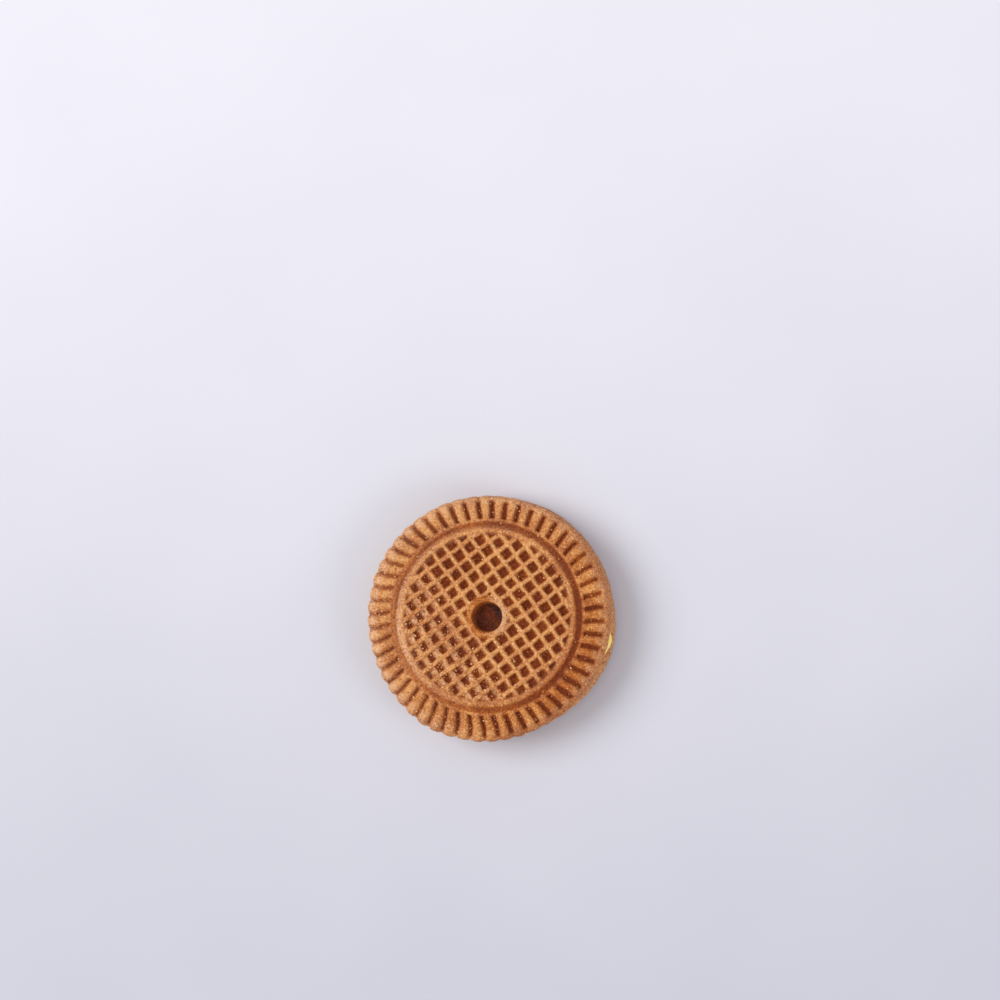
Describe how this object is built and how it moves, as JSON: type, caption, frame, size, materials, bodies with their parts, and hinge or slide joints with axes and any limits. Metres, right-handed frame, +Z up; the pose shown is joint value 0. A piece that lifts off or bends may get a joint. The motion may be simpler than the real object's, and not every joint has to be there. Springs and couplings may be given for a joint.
{
  "type": "pumpkin sandwich cookie",
  "caption": "Round sandwich cookie: two golden-brown moulded biscuits with a ribbed border and a waffle grid round a small well, held together by a layer of yellow cream.",
  "frame": {"origin": "middle of the underside, on the axis through the round well in each biscuit, in the plane of the surface that the cookie lies on", "axes": "+Z up through the cookie, from the lower biscuit's patterned face to the upper one's; +X towards the picture's right and +Y towards its top edge"},
  "size_m": [0.057, 0.0569, 0.012],
  "materials": {
    "baked_biscuit": "matte",
    "baked_biscuit_under": "matte",
    "pumpkin_cream": "satin"
  },
  "bodies": {
    "root": {"biscuit_top": "baked_biscuit", "cream_filling": "pumpkin_cream", "biscuit_bottom": "baked_biscuit_under"}
  },
  "joints": []
}
